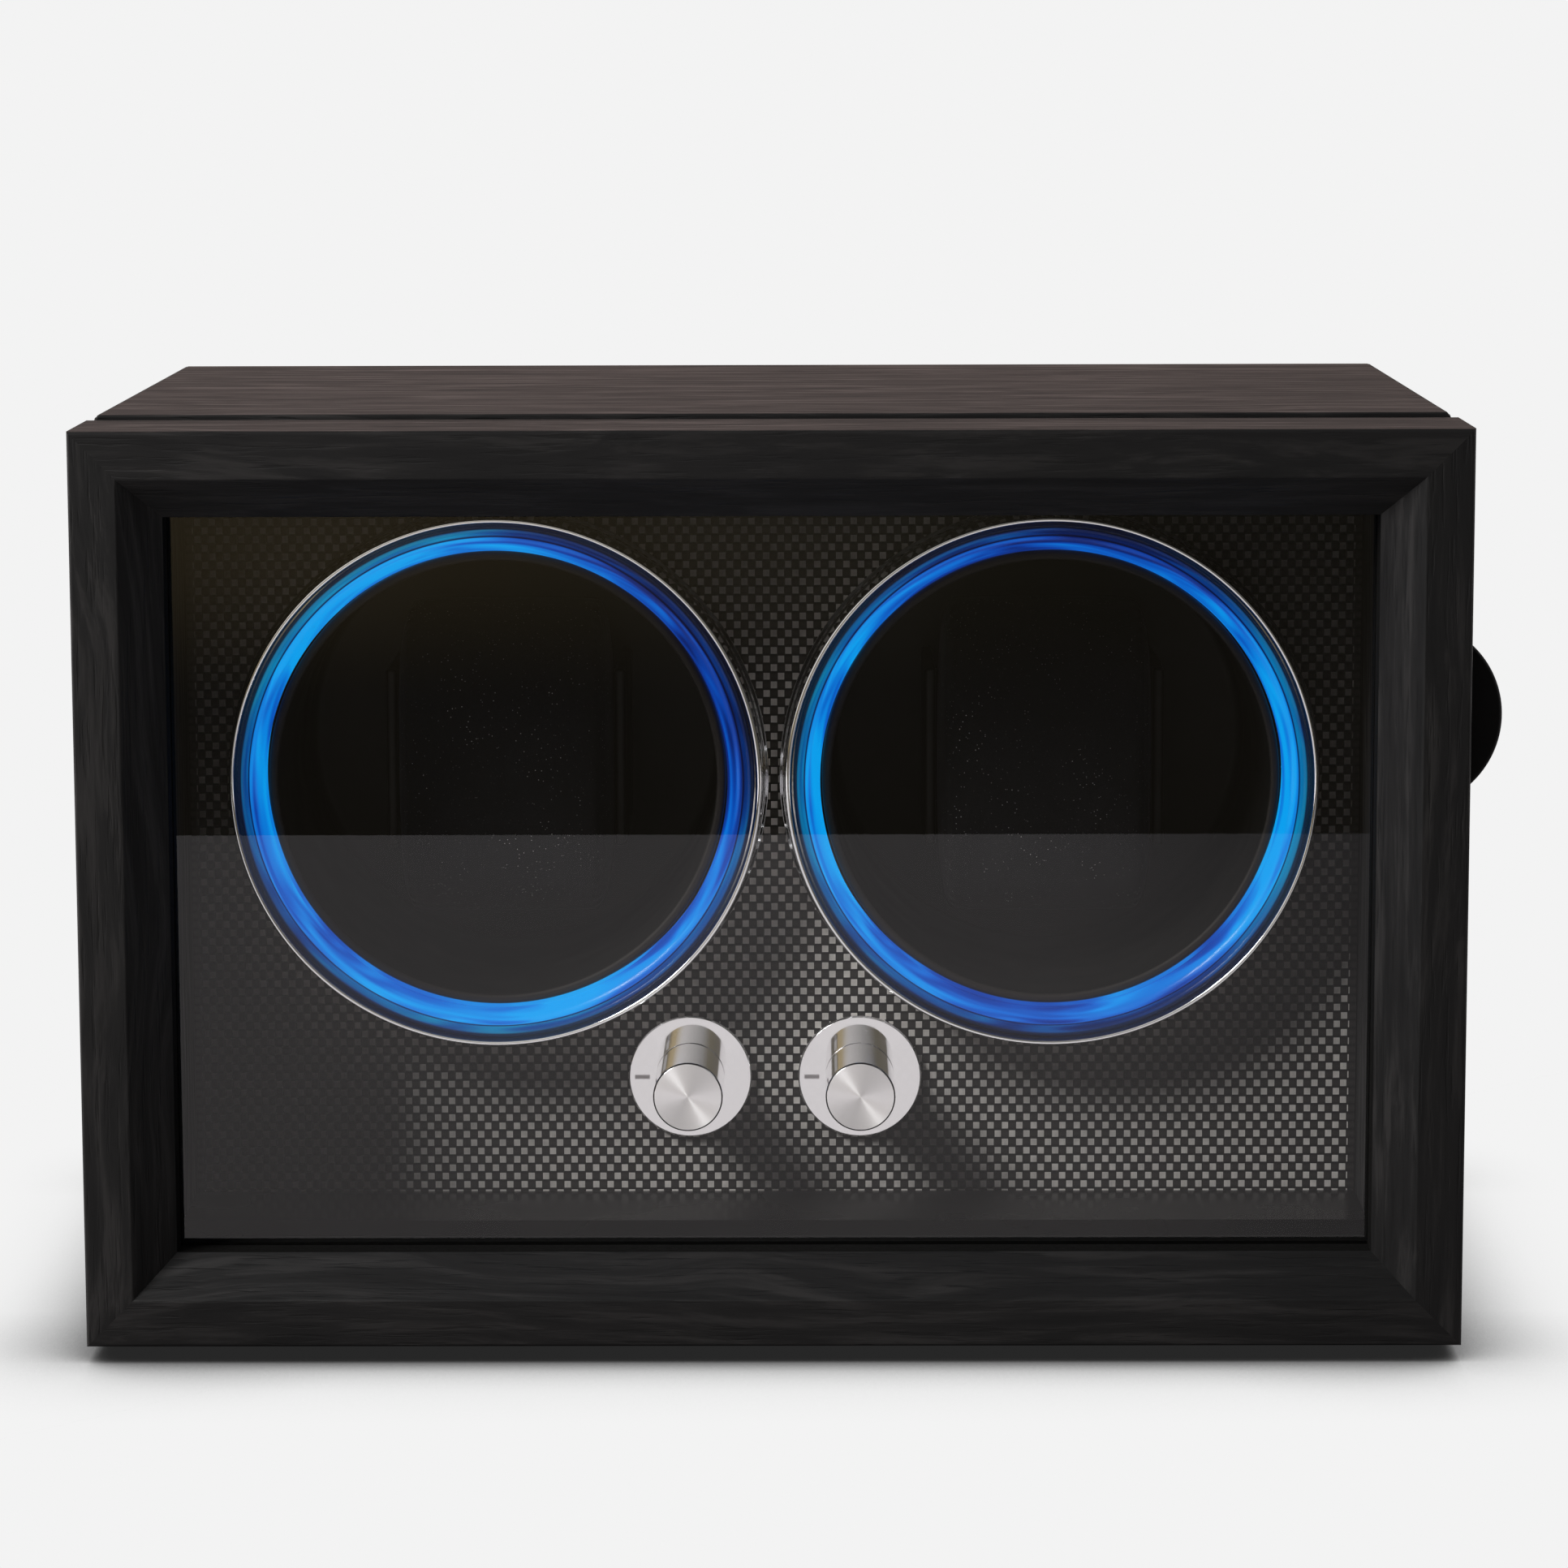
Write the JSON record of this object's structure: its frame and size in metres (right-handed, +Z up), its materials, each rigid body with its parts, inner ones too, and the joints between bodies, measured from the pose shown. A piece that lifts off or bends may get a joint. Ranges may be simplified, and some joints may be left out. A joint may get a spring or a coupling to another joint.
{
  "type": "watch winder box",
  "caption": "Table-top watch winder box: framed glass door, lit round mouths with slowly turning cups and watch pillows, and a mode knob for each cup.",
  "frame": {"origin": "on the surface the feet stand on, under the middle of the box", "axes": "+X to the right seen from the front, -Y out of the glass door, +Z up"},
  "size_m": [0.2388, 0.151, 0.157],
  "materials": {
    "ebony_veneer": "open-pore black veneer, satin",
    "black_board": "smooth black laminate",
    "raw_wood": "unfinished softwood",
    "carbon_weave": "black plain-weave film under clear gloss",
    "steel_screw": "zinc plated",
    "rubber_foot": "matt black",
    "polished_chrome": "mirror polished",
    "blue_light_guide": "clear ring lit blue from behind",
    "circuit_board": "green solder mask",
    "black_moulding": "black moulded plastic",
    "bronze_bush": "sintered bronze",
    "plated_steel": "plated steel",
    "black_hinge": "black plated",
    "brushed_knob": "polished side, spun cap",
    "clear_glass": "clear float glass",
    "white_gear": "natural acetal",
    "grey_button": "grey moulded plastic",
    "suede_pillow": "black suede-textured cover"
  },
  "bodies": {
    "case": {"case_top": "ebony_veneer", "case_bottom": "ebony_veneer", "case_left_side": "ebony_veneer", "case_right_side": "ebony_veneer", "back_panel": "black_board", "back_screws": "steel_screw", "rubber_feet": "rubber_foot", "fascia_panel": "carbon_weave", "fascia_battens": "raw_wood", "compartment_floor": "black_board", "bezel_left": "polished_chrome", "bezel_right": "polished_chrome", "light_ring_left": "blue_light_guide", "light_ring_right": "blue_light_guide", "led_board_left": "circuit_board", "led_board_right": "circuit_board", "drum_housing_left": "black_moulding", "drum_housing_right": "black_moulding", "drum_backs": "black_moulding", "drive_screws": "steel_screw", "axle_bushes": "bronze_bush", "motor_plate_left": "plated_steel", "motor_plate_right": "plated_steel", "gearmotor_left": "plated_steel", "gearmotor_right": "plated_steel", "rotary_switch_left": "black_moulding", "rotary_switch_right": "black_moulding", "knob_flange_left": "polished_chrome", "knob_flange_right": "polished_chrome", "control_board": "circuit_board", "power_socket": "black_moulding", "socket_pin": "plated_steel", "light_switch_body": "black_moulding", "case_hinge_leaves": "black_hinge", "hinge_pins": "plated_steel", "catch_plates": "plated_steel"},
    "door": {"door_top_rail": "ebony_veneer", "door_bottom_rail": "ebony_veneer", "door_left_stile": "ebony_veneer", "door_right_stile": "ebony_veneer", "door_glass": "clear_glass", "glazing_beads": "black_board", "door_pull": "black_moulding", "door_hinge_leaves": "black_hinge", "catch_magnets": "plated_steel"},
    "cup_unit_left": {"cup_left": "black_moulding", "cup_gear_left": "white_gear", "cup_axle_left": "plated_steel"},
    "motor_output_left": {"motor_pinion_left": "white_gear"},
    "mode_knob_left": {"knob_left": "brushed_knob", "knob_spindle_left": "plated_steel"},
    "pillow_left": {"watch_pillow_left": "suede_pillow"},
    "cup_unit_right": {"cup_right": "black_moulding", "cup_gear_right": "white_gear", "cup_axle_right": "plated_steel"},
    "motor_output_right": {"motor_pinion_right": "white_gear"},
    "mode_knob_right": {"knob_right": "brushed_knob", "knob_spindle_right": "plated_steel"},
    "pillow_right": {"watch_pillow_right": "suede_pillow"},
    "light_switch": {"light_button": "grey_button"}
  },
  "joints": [
    {"name": "door_hinge", "type": "hinge", "parent": "case", "child": "door", "pos_m": [-0.116, -0.04975, 0.0795], "axis": [0, 0, -1], "range_deg": [0, 170]},
    {"name": "cup_left_spin", "type": "hinge", "parent": "case", "child": "cup_unit_left", "pos_m": [-0.0479, 0, 0.0924], "axis": [0, 1, 0], "continuous": true},
    {"name": "motor_left_spin", "type": "hinge", "parent": "case", "child": "motor_output_left", "pos_m": [-0.0479, 0.04, 0.0624], "axis": [0, 1, 0], "continuous": true},
    {"name": "knob_left_turn", "type": "hinge", "parent": "case", "child": "mode_knob_left", "pos_m": [-0.01485, -0.035, 0.0391], "axis": [0, 1, 0], "range_deg": [0, 120]},
    {"name": "pillow_left_slide", "type": "slide", "parent": "cup_unit_left", "child": "pillow_left", "axis": [0, -1, 0], "range_m": [0, 0.038]},
    {"name": "cup_right_spin", "type": "hinge", "parent": "case", "child": "cup_unit_right", "pos_m": [0.0479, 0, 0.0924], "axis": [0, 1, 0], "continuous": true},
    {"name": "motor_right_spin", "type": "hinge", "parent": "case", "child": "motor_output_right", "pos_m": [0.0479, 0.04, 0.0624], "axis": [0, 1, 0], "continuous": true},
    {"name": "knob_right_turn", "type": "hinge", "parent": "case", "child": "mode_knob_right", "pos_m": [0.01485, -0.035, 0.0391], "axis": [0, 1, 0], "range_deg": [0, 120]},
    {"name": "pillow_right_slide", "type": "slide", "parent": "cup_unit_right", "child": "pillow_right", "axis": [0, -1, 0], "range_m": [0, 0.038]},
    {"name": "light_button_press", "type": "slide", "parent": "case", "child": "light_switch", "axis": [0, -1, 0], "range_m": [0, 0.002], "stiffness_N_per_m": 200}
  ],
  "couplings": [
    {"joint": "motor_left_spin", "follows": "cup_left_spin", "ratio": -3},
    {"joint": "motor_right_spin", "follows": "cup_right_spin", "ratio": -3}
  ]
}
